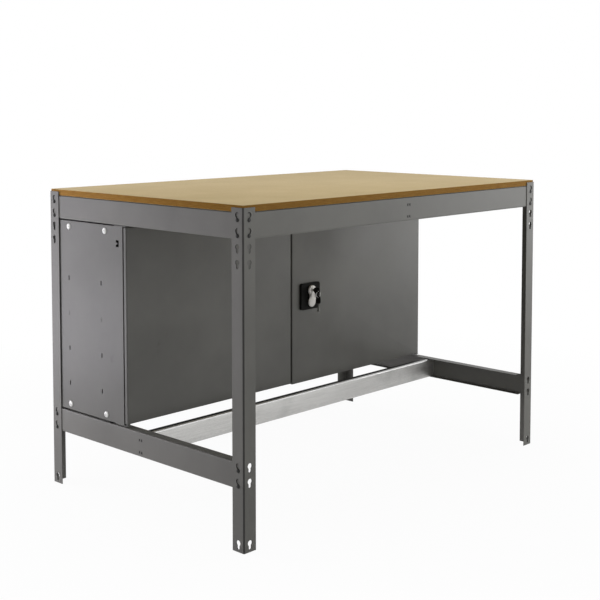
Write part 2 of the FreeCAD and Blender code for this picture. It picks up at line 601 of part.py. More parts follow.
# Spacers, bolts and nuts that hold the cabinet on the lower beams
spacers = []
bolts = []
bolt_nuts = []
for spot_y in MOUNT_BOLT_Y:
    foot = (MOUNT_BOLT_X, spot_y, LOWER_BEAM_TOP)
    disc = rod(foot, "Z", "spacer_radius", "spacer_height")
    spacers.append(cut(disc, [drill(foot, "Z", CLEAR_BOLT, "spacer_height")], "spacer"))
    seat = shifted(foot, "Z", "spacer_height + cabinet_sheet")
    low = shifted(foot, "Z", "-beam_sheet - nut_height - screw_tip")
    shank = rod(low, "Z", "screw_radius", less(seat[2], low[2]))
    bolts.append(fuse([hexagon(seat, "Z", "nut_width", "mount_head_height"), shank], "bolt"))
    bolt_nuts.append(nut(shifted(foot, "Z", "-beam_sheet - nut_height"), "Z", "nut_width",
                         "nut_height", CLEAR_BOLT))
node(both_sides(group(spacers, "spacers_left"), "spacers"), "cabinet_spacers")
node(both_sides(group(bolts, "bolts_left"), "bolts"), "cabinet_mounting_bolts")
node(both_sides(group(bolt_nuts, "bolt_nuts_left"), "bolt_nuts"), "cabinet_mounting_nuts")

# Shelf, and the clips that hold it in one row of slots
SHELF_FOOT = less(SLOT_Z[SHELF_ROWS], "clip_drop")
SHELF_LEFT = add_up(PAN_LEFT, "clip_sheet", "shelf_side_gap")
SHELF_FRONT = add_up(SHELL_FRONT, "shelf_front_gap")
SHELF_DEPTH = less(BACK_FACE, "shelf_rear_gap", SHELF_FRONT)
SHELF_LENGTH = less("0", "2 * " + SHELF_LEFT)
shelf_blank = box((SHELF_LEFT, SHELF_FRONT, SHELF_FOOT),
                  (SHELF_LENGTH, SHELF_DEPTH, "shelf_height"), "shelf_blank")
shelf_hollow = box((add_up(SHELF_LEFT, "shelf_sheet"), add_up(SHELF_FRONT, "shelf_sheet"),
                    less(SHELF_FOOT, "overrun")),
                   (less(SHELF_LENGTH, "2 * shelf_sheet"), less(SHELF_DEPTH, "2 * shelf_sheet"),
                    add_up(less("shelf_height", "shelf_sheet"), "overrun")), "shelf_hollow")
node(cut(shelf_blank, [shelf_hollow]), "shelf")
clips = []
for spot_y in SLOT_Y:
    edge = less(spot_y, "clip_width / 2")
    upright = box((PAN_LEFT, edge, less(SHELF_FOOT, "clip_sheet")),
                  ("clip_sheet", "clip_width", add_up("clip_sheet", "clip_drop", "clip_rise")),
                  "upright")
    ledge = box((PAN_LEFT, edge, less(SHELF_FOOT, "clip_sheet")),
                ("clip_ledge", "clip_width", "clip_sheet"), "ledge")
    tab_width = "(slot_width - 2 * clip_play)"
    tab_height = "(slot_height - 2 * clip_play)"
    tab = box((SHELL_LEFT, less(spot_y, tab_width + " / 2"),
               less(SLOT_Z[SHELF_ROWS], tab_height + " / 2")),
              ("cabinet_sheet", tab_width, tab_height), "tab")
    clips.append(fuse([upright, ledge, tab], "clip"))
node(both_sides(group(clips, "clips_left"), "clips"), "shelf_clips")


# Doors: folded pans with returns, a stiffener inside and bushes at the pivots
def bush(side, at_top):
    """Bush held in the door's end, with its neck in the end's hole."""
    bottom = DOOR_BOTTOM[side]
    seat = add_up(bottom, "door_sheet")
    if at_top:
        seat = less(add_up(bottom, DOOR_HEIGHT), "door_sheet")
    low = less(seat, "bush_height") if at_top else seat
    neck = seat if at_top else bottom
    start = (PIVOT_X[side], PIVOT_Y, low)
    barrel = rod(start, "Z", "bush_radius", "bush_height")
    collar = rod((PIVOT_X[side], PIVOT_Y, neck), "Z", "bush_neck_radius", "door_sheet")
    length = add_up("bush_height", "door_sheet")
    bottom_end = low if at_top else bottom
    bore = drill((PIVOT_X[side], PIVOT_Y, bottom_end), "Z", "pivot_radius + pivot_play", length)
    return cut(fuse([barrel, collar]), [bore], "bush")


def door(side):
    left = DOOR_LEFT[side]
    bottom = DOOR_BOTTOM[side]
    deep = "door_thickness"
    inner = less(deep, "door_sheet")
    far = less(DOOR_WIDTH, "door_sheet")
    turn = less(DOOR_WIDTH, "door_return")
    section = [("0", "0"), (DOOR_WIDTH, "0"), (DOOR_WIDTH, deep), (turn, deep), (turn, inner),
               (far, inner), (far, "door_sheet"), ("door_sheet", "door_sheet"),
               ("door_sheet", inner), ("door_return", inner), ("door_return", deep), ("0", deep)]
    name = side + "_door"
    skin = outline(section, "Z", (left, DOOR_FACE, bottom), DOOR_HEIGHT, name + "_skin",
                   [((0, 1), "door_round"), ((6, 7), less("door_round", "door_sheet"))])
    pieces = [skin]
    for shift in ("0", less(DOOR_HEIGHT, "door_sheet")):
        corner = (add_up(left, "door_sheet"), add_up(DOOR_FACE, "door_sheet"), add_up(bottom, shift))
        size = (less(DOOR_WIDTH, "2 * door_sheet"), inner, "door_sheet")
        pieces.append(box(corner, size, "door_end"))
    tools = [drill((PIVOT_X[side], PIVOT_Y, bottom), "Z", "bush_neck_radius + screw_play",
                   DOOR_HEIGHT)]
    if side == "right":
        tools.append(drill((LOCK_X, DOOR_FACE, SPINDLE_Z), "Y", "lock_hole_radius", "door_sheet"))
    node(cut(fuse(pieces), tools, name), "door_%s_panel" % side)
    half = "stiffener_width / 2"
    foot = less(half, "stiffener_foot")
    crest = less("stiffener_depth", "door_sheet")
    wall = add_up(foot, "door_sheet")
    right_half = [(foot, crest), (foot, "0"), (half, "0"), (half, "door_sheet"),
                  (wall, "door_sheet"), (wall, "stiffener_depth")]
    left_half = [(less("0", x), y) for x, y in reversed(right_half)]
    node(outline(right_half + left_half, "Z",
                 (add_up(left, DOOR_WIDTH + " / 2"), add_up(DOOR_FACE, "door_sheet"),
                  add_up(bottom, "door_sheet", "stiffener_end_gap")),
                 less(DOOR_HEIGHT, "2 * door_sheet", "2 * stiffener_end_gap"), name + "_hat"),
         "door_%s_stiffener" % side)
    node(group([bush(side, False), bush(side, True)], name + "_bushes"), "door_%s_bushes" % side)


door("left")
door("right")

# Brackets with the pins that the doors turn on, welded under and over the shell
for level in ("lower", "upper"):
    brackets = []
    for side in ("left", "right"):
        below = level == "lower"
        plate_foot = less(SHELL_BOTTOM, "bracket_sheet") if below else SHELL_TOP
        half = "bracket_width / 2"
        depth = add_up("bracket_nose", "bracket_tail", "shell_cover")
        plate = outline([(less("0", half), "0"), (half, "0"), (half, depth),
                         (less("0", half), depth)], "Z",
                        (PIVOT_X[side], less(PIVOT_Y, "bracket_nose"), plate_foot),
                        "bracket_sheet", "%s_%s_plate" % (level, side),
                        [((0, 1), "bracket_corner")])
        if below:
            pin_foot = SHELL_BOTTOM
            pin_top = add_up(DOOR_BOTTOM[side], "pivot_reach")
            collar_height = less(DOOR_BOTTOM[side], SHELL_BOTTOM, "collar_gap")
            collar_foot = SHELL_BOTTOM
        else:
            pin_foot = less(DOOR_BOTTOM[side] + " + " + DOOR_HEIGHT, "pivot_reach")
            pin_top = SHELL_TOP
            collar_height = "collar_gap"
            collar_foot = less(SHELL_TOP, "collar_gap")
        pin = rod((PIVOT_X[side], PIVOT_Y, pin_foot), "Z", "pivot_radius", less(pin_top, pin_foot))
        collar = rod((PIVOT_X[side], PIVOT_Y, collar_foot), "Z", "collar_radius", collar_height)
        brackets.append(fuse([plate, pin, collar], "bracket"))
    node(group(brackets, level + "_brackets"), "hinge_brackets_" + level)

# Rubber buffers on the shell's lips, one behind each end of the doors' meeting edges
buffers = []
for spot_z in (add_up(SHELL_BOTTOM, "buffer_edge"), less(SHELL_TOP, "buffer_edge")):
    for spot_x in ("-buffer_inset", "buffer_inset"):
        start = (spot_x, add_up(DOOR_BACK, "buffer_gap"), spot_z)
        buffers.append(rod(start, "Y", "buffer_radius", less(PAN_FRONT, DOOR_BACK, "buffer_gap")))
node(group(buffers, "buffers"), "door_buffers")


def slab(axis, middle, sizes, depth, corner, name):
    """Plate across an axis, with four rounded corners."""
    wide = "%s / 2" % sizes[0]
    tall = "%s / 2" % sizes[1]
    points = [(less("0", wide), less("0", tall)), (wide, less("0", tall)), (wide, tall),
              (less("0", wide), tall)]
    return outline(points, axis, middle, depth, name, [((0, 1, 2, 3), corner)])


# Lock on the right door
AT_SPINDLE = (LOCK_X, LOCK_FACE, SPINDLE_Z)
plate = slab("Y", (LOCK_X, LOCK_FACE, LOCK_Z), ("lock_plate_width", "lock_plate_height"),
             "lock_plate_depth", "lock_plate_corner", "plate")
node(cut(plate, [drill(AT_SPINDLE, "Y", "lock_hole_radius", "lock_plate_depth")]), "lock_plate")
housing_front = add_up(DOOR_FACE, "door_sheet")
housing = slab("Y", (LOCK_X, housing_front, LOCK_Z), ("housing_width", "housing_height"),
               "housing_depth", "lock_plate_corner", "housing")
bearing = drill((LOCK_X, housing_front, SPINDLE_Z), "Y", "spindle_radius + spindle_play",
                "housing_depth")
node(cut(housing, [bearing]), "lock_housing")

pivot = (LOCK_X, HANDLE_FACE, SPINDLE_Z)
low_lobe = shifted(pivot, "Z", "-handle_reach")
waist = box((less(LOCK_X, "handle_waist"), HANDLE_FACE, low_lobe[2]),
            ("2 * handle_waist", "lever_depth", "handle_reach"), "waist")
boss = rod(shifted(pivot, "Y", "lever_depth"), "Y", "lever_boss_radius",
           less("handle_depth", "lever_depth"))
grip = fuse([rod(pivot, "Y", "handle_radius", "lever_depth"),
             rod(low_lobe, "Y", "handle_toe_radius", "lever_depth"), waist, boss], "grip")
barrel_bore = rod(shifted(pivot, "Y", "-overrun"), "Y", "barrel_radius + barrel_play",
                  "barrel_depth + overrun")
slope_foot = add_up("handle_toe_radius", "overrun")
slope_top = less("handle_reach", "handle_radius")
slope = outline([("-overrun", less("0", slope_foot)), ("handle_slope", less("0", slope_foot)),
                 ("0", slope_top), ("-overrun", slope_top)], "X",
                shifted(low_lobe, "X", "-handle_radius"), "2 * handle_radius", "slope")
node(cut(grip, [barrel_bore, slope]), "lock_handle")
SPINDLE_END = add_up(CAM_BACK, "cam_nut_height", "spindle_tip")
node(rod((LOCK_X, HANDLE_BACK, SPINDLE_Z), "Y", "spindle_radius", less(SPINDLE_END, HANDLE_BACK)),
     "lock_spindle")

ROD_BACK = add_up(ROD_FRONT, "rod_sheet")
cam_start = (LOCK_X, CAM_FRONT, SPINDLE_Z)
disc = rod(cam_start, "Y", "cam_radius", "cam_sheet")
arm = box((less(LOCK_X, "arm_width / 2"), CAM_FRONT, less(SPINDLE_Z, "arm_reach")),
          ("arm_width", "cam_sheet", "arm_reach"), "arm")
cam = cut(fuse([disc, arm]), [drill(cam_start, "Y", "spindle_radius + screw_play", "cam_sheet")])
cam_pieces = [cam]
for sign in ("-", ""):
    spot = (add_up(LOCK_X, sign + CRANK_SIDE), CAM_BACK, add_up(SPINDLE_Z, sign + CRANK_SIDE))
    cam_pieces.append(rod(spot, "Y", "crank_pin_radius",
                          add_up(less(ROD_BACK, CAM_BACK), "crank_pin_tip"), "crank_pin"))
node(fuse(cam_pieces, "cam"), "lock_cam")
node(nut((LOCK_X, CAM_BACK, SPINDLE_Z), "Y", "cam_nut_width", "cam_nut_height",
         "spindle_radius + screw_play"), "lock_cam_nut")

# Locking rods, whose slotted eyes ride on the crank pins
slot_tall = "(2 * (crank_pin_radius + crank_play))"
slot_wide = add_up("crank_radius", "-" + CRANK_SIDE, slot_tall)
eye_tall = add_up(slot_tall, "2 * rod_eye_rim")
LIP_GAP = "(cabinet_lip + rod_end_gap)"
ROD_X = {"upper": less(LOCK_X, CRANK_MIDDLE), "lower": add_up(LOCK_X, CRANK_MIDDLE)}
EYE_Z = {"upper": less(SPINDLE_Z, CRANK_SIDE), "lower": add_up(SPINDLE_Z, CRANK_SIDE)}
TIP_Z = {"upper": less(SHELL_TOP, LIP_GAP), "lower": add_up(SHELL_BOTTOM, LIP_GAP)}
DOOR_TOP = add_up(DOOR_BOTTOM["right"], DOOR_HEIGHT)
GUIDE_Z = {"upper": less(DOOR_TOP, "guide_inset", "guide_height"),
           "lower": add_up(DOOR_BOTTOM["right"], "guide_inset")}
guides = []
for level in ("upper", "lower"):
    middle = (ROD_X[level], ROD_FRONT, EYE_Z[level])
    eye = box((less(middle[0], "rod_eye_width / 2"), ROD_FRONT, less(middle[2], eye_tall + " / 2")),
              ("rod_eye_width", "rod_sheet", eye_tall), "eye")
    ends = (EYE_Z[level], TIP_Z[level]) if level == "upper" else (TIP_Z[level], EYE_Z[level])
    bar = box((less(middle[0], "rod_width / 2"), ROD_FRONT, ends[0]),
              ("rod_width", "rod_sheet", less(ends[1], ends[0])), "bar")
    window = punch(middle, "Y", (slot_wide, slot_tall), "rod_sheet")
    node(cut(fuse([eye, bar]), [window], level + "_rod"), level + "_lock_rod")
    guide_low = GUIDE_Z[level]
    block = box((less(middle[0], "guide_width / 2"), housing_front, guide_low),
                ("guide_width", add_up(less(ROD_BACK, housing_front), "guide_wall"),
                 "guide_height"), "guide_block")
    passage = box((less(middle[0], "rod_width / 2", "rod_play"), less(ROD_FRONT, "rod_play"),
                   less(guide_low, "overrun")),
                  ("rod_width + 2 * rod_play", "rod_sheet + 2 * rod_play",
                   "guide_height + 2 * overrun"), "passage")
    guides.append(cut(block, [passage], "guide"))
node(group(guides, "guides"), "rod_guides")

# Lock barrel, key in it, ring and spare key
barrel_start = (LOCK_X, BARREL_FACE, SPINDLE_Z)
barrel = rod(barrel_start, "Y", "barrel_radius", "barrel_depth + barrel_proud")
key_slot = box((less(LOCK_X, "key_blade_sheet / 2", "key_play"), less(BARREL_FACE, "overrun"),
                less(SPINDLE_Z, "key_blade_width / 2", "key_play")),
               ("key_blade_sheet + 2 * key_play", "key_inset + key_play + overrun",
                "key_blade_width + 2 * key_play"), "key_slot")
node(cut(barrel, [key_slot]), "lock_cylinder")


def key(hole, along_y, blade_length, name):
    """Flat key: a black bow round the ring's hole, and a blade from its far side."""
    reach = less("key_bow_length", "key_hole_edge")
    half = "key_bow_width / 2"
    thin = less(LOCK_X, "key_bow_sheet / 2")
    if along_y:
        points = [("-key_hole_edge", less("0", half)), (reach, less("0", half)), (reach, half),
                  ("-key_hole_edge", half)]
        corner = (less(LOCK_X, "key_blade_sheet / 2"), add_up(hole[0], reach),
                  less(hole[1], "key_blade_width / 2"))
        size = ("key_blade_sheet", blade_length, "key_blade_width")
    else:
        points = [(less("0", half), less("0", reach)), (half, less("0", reach)),
                  (half, "key_hole_edge"), (less("0", half), "key_hole_edge")]
        corner = (less(LOCK_X, "key_blade_sheet / 2"), less(hole[0], "key_blade_width / 2"),
                  less(hole[1], reach, blade_length))
        size = ("key_blade_sheet", "key_blade_width", blade_length)
    bow = outline(points, "X", (thin,) + hole, "key_bow_sheet", name + "_bow",
                  [((0, 1, 2, 3), "key_bow_corner")])
    opening = drill((thin,) + hole, "X", "key_hole_radius", "key_bow_sheet")
    return cut(fuse([bow, box(corner, size, "blade")]), [opening], name)


node(key((KEY_HOLE_Y, SPINDLE_Z), True, add_up("key_neck", "key_inset"), "lock_key"), "key")
ring = doc.addObject("Part::Torus", "ring")
bind(ring, "Radius1", "ring_radius")
bind(ring, "Radius2", "ring_wire")
ring.Placement = FreeCAD.Placement(FreeCAD.Vector(), AXES["Y"])
place(ring, (LOCK_X, KEY_HOLE_Y, less(RING_TOP, "ring_radius")))
node(ring, "key_ring")
node(key((KEY_HOLE_Y, SPARE_HOLE), False, "key_blade_length", "other_key"), "spare_key")

doc.recompute()
for thing in doc.Objects:
    if "Invalid" in thing.State or "Error" in thing.State:
        raise RuntimeError("%s does not compute: %s" % (thing.Name, thing.State))
for piece in nodes:
    if piece.Shape.isNull() or not piece.Shape.isValid():
        raise RuntimeError("%s has no valid shape" % piece.Label)

os.makedirs("parts", exist_ok=True)
for piece in nodes:
    piece.Shape.exportStep("parts/%s.step" % piece.Label)
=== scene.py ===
import json
from math import cos, pi, radians, sin, sqrt

import bmesh
import bpy
from mathutils import Matrix, Vector

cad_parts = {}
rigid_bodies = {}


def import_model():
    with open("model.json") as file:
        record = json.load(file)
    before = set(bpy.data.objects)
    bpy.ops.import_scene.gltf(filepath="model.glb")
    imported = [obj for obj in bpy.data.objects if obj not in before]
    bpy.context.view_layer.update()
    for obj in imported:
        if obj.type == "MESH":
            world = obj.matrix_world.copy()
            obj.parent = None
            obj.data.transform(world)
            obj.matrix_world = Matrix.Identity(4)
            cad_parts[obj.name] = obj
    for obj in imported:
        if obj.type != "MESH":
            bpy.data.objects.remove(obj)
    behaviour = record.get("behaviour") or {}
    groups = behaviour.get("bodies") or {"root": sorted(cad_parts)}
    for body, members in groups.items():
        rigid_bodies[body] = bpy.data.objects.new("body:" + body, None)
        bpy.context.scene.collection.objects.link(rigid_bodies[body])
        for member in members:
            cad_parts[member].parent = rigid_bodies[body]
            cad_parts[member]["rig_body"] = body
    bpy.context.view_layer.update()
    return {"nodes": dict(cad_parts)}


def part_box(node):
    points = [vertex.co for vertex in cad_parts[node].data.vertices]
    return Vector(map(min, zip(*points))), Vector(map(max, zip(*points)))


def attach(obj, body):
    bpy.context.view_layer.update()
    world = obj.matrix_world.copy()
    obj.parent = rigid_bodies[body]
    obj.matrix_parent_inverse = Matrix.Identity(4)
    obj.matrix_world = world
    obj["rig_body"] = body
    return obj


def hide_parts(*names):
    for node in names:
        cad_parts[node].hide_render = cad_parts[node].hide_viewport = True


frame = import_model()

MM = 0.001
SPOT = {name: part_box(name) for name in frame["nodes"]}
WHITE = (1.0, 1.0, 1.0)

# Most of a noise's values lie between these
MOST = (0.3, 0.7)

# Sockets of the Mix node that take and give colours
SHARE, FIRST, SECOND, MIXED = 0, 6, 7, 2


class Signal:
    """A shader value. Sums and products of it add Math nodes."""

    def __init__(self, tree, socket):
        self.tree = tree
        self.socket = socket

    def combine(self, operation, first, second):
        return node(self.tree, "ShaderNodeMath", {"operation": operation}, {0: first, 1: second})

    def __add__(self, other):
        return self.combine("ADD", self, other)

    def __radd__(self, other):
        return self.combine("ADD", other, self)

    def __mul__(self, other):
        return self.combine("MULTIPLY", self, other)

    def __rmul__(self, other):
        return self.combine("MULTIPLY", other, self)

    def most(self, other):
        return self.combine("MAXIMUM", self, other)

    def size(self):
        return self.combine("ABSOLUTE", self, 0.0)

    def faded(self, low, high, start=0.0, end=1.0):
        """Goes from start to end as the value goes from low to high."""
        values = {"Value": self, "From Min": low, "From Max": high,
                  "To Min": start, "To Max": end}
        return node(self.tree, "ShaderNodeMapRange", {"clamp": True}, values)


def node(tree, kind, settings, values, output=0):
    """Adds one node: its settings first, then the values or links of its sockets."""
    made = tree.nodes.new(kind)
    for key, setting in settings.items():
        setattr(made, key, setting)
    for key, value in values.items():
        if isinstance(value, Signal):
            tree.links.new(value.socket, made.inputs[key])
        else:
            made.inputs[key].default_value = value
    return Signal(tree, made.outputs[output])


def opaque(colour):
    """A colour as a colour socket takes it."""
    return colour if isinstance(colour, Signal) else (*colour, 1.0)


def toned(colour, share):
    """A colour made lighter or darker."""
    return tuple(share * channel for channel in colour)


def blend(share, first, second):
    """Mixes two colours by a value."""
    values = {SHARE: share, FIRST: opaque(first), SECOND: opaque(second)}
    return node(share.tree, "ShaderNodeMix", {"data_type": "RGBA"}, values, MIXED)


def noise(place, scale, detail=3.0, rough=0.55):
    """Soft random patches, finer where the scale is larger."""
    values = {"Vector": place, "Scale": scale, "Detail": detail, "Roughness": rough}
    return node(place.tree, "ShaderNodeTexNoise", {}, values)


def streaks(place, scales, detail=3.0, rough=0.55):
    """Noise with its own scale along X, Y and Z, long where the scale is small."""
    stretched = node(place.tree, "ShaderNodeMapping", {}, {"Vector": place, "Scale": scales})
    return noise(stretched, 1.0, detail, rough)


def part_of(place, axis):
    """One coordinate of a place."""
    return node(place.tree, "ShaderNodeSeparateXYZ", {}, {"Vector": place}, axis)


def surface(shade, rough, height, strength, depth=0.2 * MM):
    """What a recipe gives: colour, roughness, and a relief of a height's bumps."""
    values = {"Height": height, "Strength": strength, "Distance": depth}
    relief = node(height.tree, "ShaderNodeBump", {}, values)
    return {"Base Color": shade, "Roughness": rough, "Normal": relief}


def object_place(tree):
    return node(tree, "ShaderNodeTexCoord", {}, {}, "Object")


def cleared_tree(owner):
    """The empty node tree of a material or of the world."""
    owner.use_nodes = True
    owner.node_tree.nodes.clear()
    return owner.node_tree


def close_tree(shader, end_kind="ShaderNodeOutputMaterial"):
    """Links a shader to its tree's output."""
    end = shader.tree.nodes.new(end_kind)
    shader.tree.links.new(shader.socket, end.inputs["Surface"])


def finish(name, recipe, metallic=0.0, specular=0.5):
    """A material: its recipe gives what changes over the surface, and the rest is constant."""
    material = bpy.data.materials.new(name)
    tree = cleared_tree(material)
    constants = {"Metallic": metallic, "Specular IOR Level": specular}
    values = {**constants, **recipe(object_place(tree))}
    close_tree(node(tree, "ShaderNodeBsdfPrincipled", {}, values))
    return material


def leg_fold_shade(place):
    """1 on each leg's outer bend, for a painted dark reflection, and 0 elsewhere."""
    bend_edge, bend_top = 0.9712, 0.9720
    corner = part_of(place, "X").size() + part_of(place, "Y").size()
    return corner.faded(bend_edge, bend_top)


def shade_under_board(place):
    """1 on the upper beams' bend right under the board, for painted shade, and 0 elsewhere."""
    bend_foot, bend_top = 0.7809, 0.7822
    return part_of(place, "Z").faded(bend_foot, bend_top)


def powder_coat(colour, roughness, shade_band=None, painted_shade=0.0):
    """Grey powder coat: faint orange peel, fine flecks, and painted shade on a band if one is
    given.
    """
    def recipe(place):
        cloud = noise(place, 5.0, detail=4.0)
        fleck = noise(place, 1400.0, detail=2.0)
        peel = noise(place, 420.0, detail=2.0, rough=0.4)
        shade = blend(cloud.faded(*MOST), toned(colour, 0.86), toned(colour, 1.10))
        shade = blend(fleck.faded(0.58, 0.75, end=0.35), shade, toned(colour, 1.5))
        # Painted shade: the band is darkened toward a tenth of the paint's colour
        if shade_band:
            shade = blend(shade_band(place) * painted_shade, shade, toned(colour, 0.1))
        rough = cloud.faded(*MOST, roughness - 0.05, roughness + 0.07) + fleck * 0.04
        return surface(shade, rough, peel, strength=0.16, depth=0.4 * MM)
    return recipe


def board_face(place):
    """Hard fibreboard: pressed tan skin with short fibres and darker flecks."""
    tan, pale_tan = (0.520, 0.390, 0.178), (0.590, 0.450, 0.220)
    fibre_brown, fleck_brown = (0.43, 0.315, 0.145), (0.30, 0.20, 0.10)
    cloud = noise(place, 7.0, detail=5.0)
    fibre = streaks(place, (90.0, 420.0, 90.0), detail=4.0, rough=0.6)
    fleck = noise(place, 620.0, rough=0.7)
    shade = blend(cloud.faded(*MOST), tan, pale_tan)
    shade = blend(fibre.faded(0.35, 0.75, end=0.30), shade, fibre_brown)
    shade = blend(fleck.faded(0.62, 0.80, end=0.5), shade, fleck_brown)
    return surface(shade, fibre.faded(*MOST, 0.52, 0.66), fibre, strength=0.12, depth=0.4 * MM)


def board_edge(place):
    """Sawn edge of the board: brown, layered and open."""
    brown, pale_brown = (0.205, 0.095, 0.014), (0.365, 0.195, 0.040)
    pore_brown = (0.11, 0.050, 0.010)
    layer = streaks(place, (35.0, 35.0, 900.0), detail=4.0, rough=0.6)
    pore = noise(place, 900.0, rough=0.7)
    shade = blend(layer.faded(*MOST), brown, pale_brown)
    shade = blend(pore.faded(0.55, 0.75, end=0.6), shade, pore_brown)
    rough = pore.faded(*MOST, 0.75, 0.95)
    return surface(shade, rough, layer + pore, strength=0.5, depth=0.6 * MM)


def galvanised(scales):
    """Zinc-coated strip: fine dark grain, streaks along the strip and darker clouds."""
    def recipe(place):
        zinc, pale_zinc = (0.44, 0.437, 0.426), (0.60, 0.595, 0.58)
        grain_grey, cloud_grey = (0.17, 0.168, 0.160), (0.22, 0.22, 0.215)
        grain = noise(place, 900.0, rough=0.6)
        streak = streaks(place, scales, detail=4.0, rough=0.65)
        cloud = noise(place, 9.0, detail=4.0)
        shade = blend(streak.faded(*MOST), zinc, pale_zinc)
        shade = blend(grain.faded(0.47, 0.67, end=0.75), shade, grain_grey)
        shade = blend(cloud.faded(0.52, 0.72, end=0.45), shade, cloud_grey)
        rough = streak.faded(*MOST, 0.34, 0.50) + grain * 0.06
        return surface(shade, rough, grain, strength=0.10)
    return recipe


def zinc_plate(place):
    """Bright zinc plate on small steel pieces."""
    cloud = noise(place, 160.0)
    scratch = streaks(place, (300.0, 2600.0, 1500.0), detail=2.0)
    shade = blend(cloud.faded(0.35, 0.7), (0.56, 0.56, 0.54), (0.74, 0.74, 0.715))
    return surface(shade, scratch.faded(*MOST, 0.34, 0.48), scratch, strength=0.06)


def fold_highlight_zinc(place):
    """Paler, smoother zinc along a fold, its lighter tone a painted highlight."""
    fold_streak = streaks(place, (40.0, 700.0, 700.0))
    shade = blend(fold_streak.faded(*MOST), (0.43, 0.43, 0.425), (0.50, 0.50, 0.495))
    return surface(shade, fold_streak.faded(*MOST, 0.25, 0.40), fold_streak, strength=0.06)


def key_steel(place):
    """Dull nickel silver of a worn key blade."""
    wear = streaks(place, (900.0, 240.0, 240.0))
    shade = blend(wear.faded(*MOST), (0.10, 0.10, 0.092), (0.22, 0.22, 0.205))
    return surface(shade, wear.faded(*MOST, 0.36, 0.52), wear, strength=0.12)


def satin_nickel(place):
    """Nickel with a satin brush along the handle."""
    brush = streaks(place, (3200.0, 3200.0, 260.0))
    cloud = noise(place, 60.0)
    shade = blend(cloud.faded(*MOST), (0.58, 0.565, 0.535), (0.72, 0.705, 0.67))
    return surface(shade, brush.faded(0.25, 0.75, 0.36, 0.50), brush, strength=0.10)


def black_plastic(place):
    """Moulded black plastic with a fine spark texture."""
    grain = noise(place, 2400.0, detail=2.0, rough=0.7)
    cloud = noise(place, 45.0, detail=2.0)
    shade = blend(cloud.faded(*MOST), (0.0045, 0.0045, 0.0042), (0.010, 0.010, 0.0092))
    return surface(shade, grain.faded(*MOST, 0.52, 0.66), grain, strength=0.25)


def dark_steel(place):
    """Dark steel of rivets, and painted shade on cut walls, hooks and a lip; a little paler in
    places.
    """
    cloud = noise(place, 240.0)
    shade = blend(cloud.faded(0.4, 0.75), (0.010, 0.010, 0.0095), (0.030, 0.030, 0.028))
    return surface(shade, cloud.faded(*MOST, 0.40, 0.58), cloud, strength=0.15)


def rubber(place):
    """Black rubber with a dusty bloom."""
    grain = noise(place, 1500.0, detail=2.0)
    cloud = noise(place, 120.0, detail=2.0)
    shade = blend(cloud.faded(*MOST), (0.018, 0.018, 0.018), (0.045, 0.045, 0.043))
    return surface(shade, grain.faded(*MOST, 0.75, 0.9), grain, strength=0.2)


PAINT_SPECULAR = 0.3
FRAME_PAINT, FRAME_ROUGHNESS = (0.136, 0.134, 0.121), 0.36
CABINET_PAINT, CABINET_ROUGHNESS = (0.117, 0.116, 0.106), 0.30
STREAKED_ALONG_X, STREAKED_ALONG_Y = (12.0, 520.0, 520.0), (520.0, 12.0, 520.0)

FRAME_GREY = finish("frame_powder_coat", powder_coat(FRAME_PAINT, FRAME_ROUGHNESS),
                    specular=PAINT_SPECULAR)
# Legs: powder coat with a painted dark reflection along the outer fold
LEG_GREY = finish("leg_powder_coat",
                  powder_coat(FRAME_PAINT, FRAME_ROUGHNESS, leg_fold_shade, painted_shade=0.85),
                  specular=PAINT_SPECULAR)
# Upper beams: powder coat with painted shade along the bend under the board
UPPER_BEAM_GREY = finish("upper_beam_powder_coat",
                         powder_coat(FRAME_PAINT, FRAME_ROUGHNESS, shade_under_board, painted_shade=0.8),
                         specular=PAINT_SPECULAR)
CABINET_GREY = finish("cabinet_powder_coat", powder_coat(CABINET_PAINT, CABINET_ROUGHNESS),
                      specular=PAINT_SPECULAR)
BOARD_FACE = finish("fibreboard_face", board_face, specular=0.3)
BOARD_EDGE = finish("fibreboard_edge", board_edge, specular=0.2)
GALVANISED_ALONG_X = finish("galvanised_along_x", galvanised(STREAKED_ALONG_X), metallic=0.85)
GALVANISED_ALONG_Y = finish("galvanised_along_y", galvanised(STREAKED_ALONG_Y), metallic=0.85)
ZINC = finish("zinc_plate", zinc_plate, metallic=0.6)
NICKEL = finish("satin_nickel", satin_nickel, metallic=0.15)
BLACK = finish("black_plastic", black_plastic, specular=0.05)
KEY_STEEL = finish("key_steel", key_steel, metallic=0.8)
RIVET = finish("dark_rivet_steel", dark_steel, metallic=0.6)
RUBBER = finish("buffer_rubber", rubber)
# Dark cut steel as painted shade on keyhole and slit walls, hook ends and the crossbar's lip
CUT_EDGE_SHADE = finish("cut_steel_painted_shade", dark_steel, specular=0.2)
# Paler zinc on the crossbar's fold as a painted highlight
FOLD_HIGHLIGHT = finish("fold_painted_highlight", fold_highlight_zinc, metallic=0.7)


SHARP_DEGREES = 35
JOIN_CAD = 0.002 * MM       # the CAD's loose corners nearer than this are one
JOIN_NEW = 0.001 * MM       # and so are those of a new shape


def add_piece(name, shape, body, materials, cad_nodes, smooth_below=SHARP_DEGREES):
    """Turns a finished bmesh into a piece that rides on a body and stands for CAD nodes."""
    mesh = bpy.data.meshes.new(name)
    bmesh.ops.recalc_face_normals(shape, faces=shape.faces)
    shape.to_mesh(mesh)
    shape.free()
    for material in materials:
        mesh.materials.append(material)
    mesh.polygons.foreach_set("use_smooth", [True] * len(mesh.polygons))
    mesh.set_sharp_from_angle(angle=radians(smooth_below))
    piece = bpy.data.objects.new(name, mesh)
    bpy.context.scene.collection.objects.link(piece)
    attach(piece, body)
    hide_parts(*cad_nodes)
    return piece


def body_of(name):
    return frame["nodes"][name]["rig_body"]


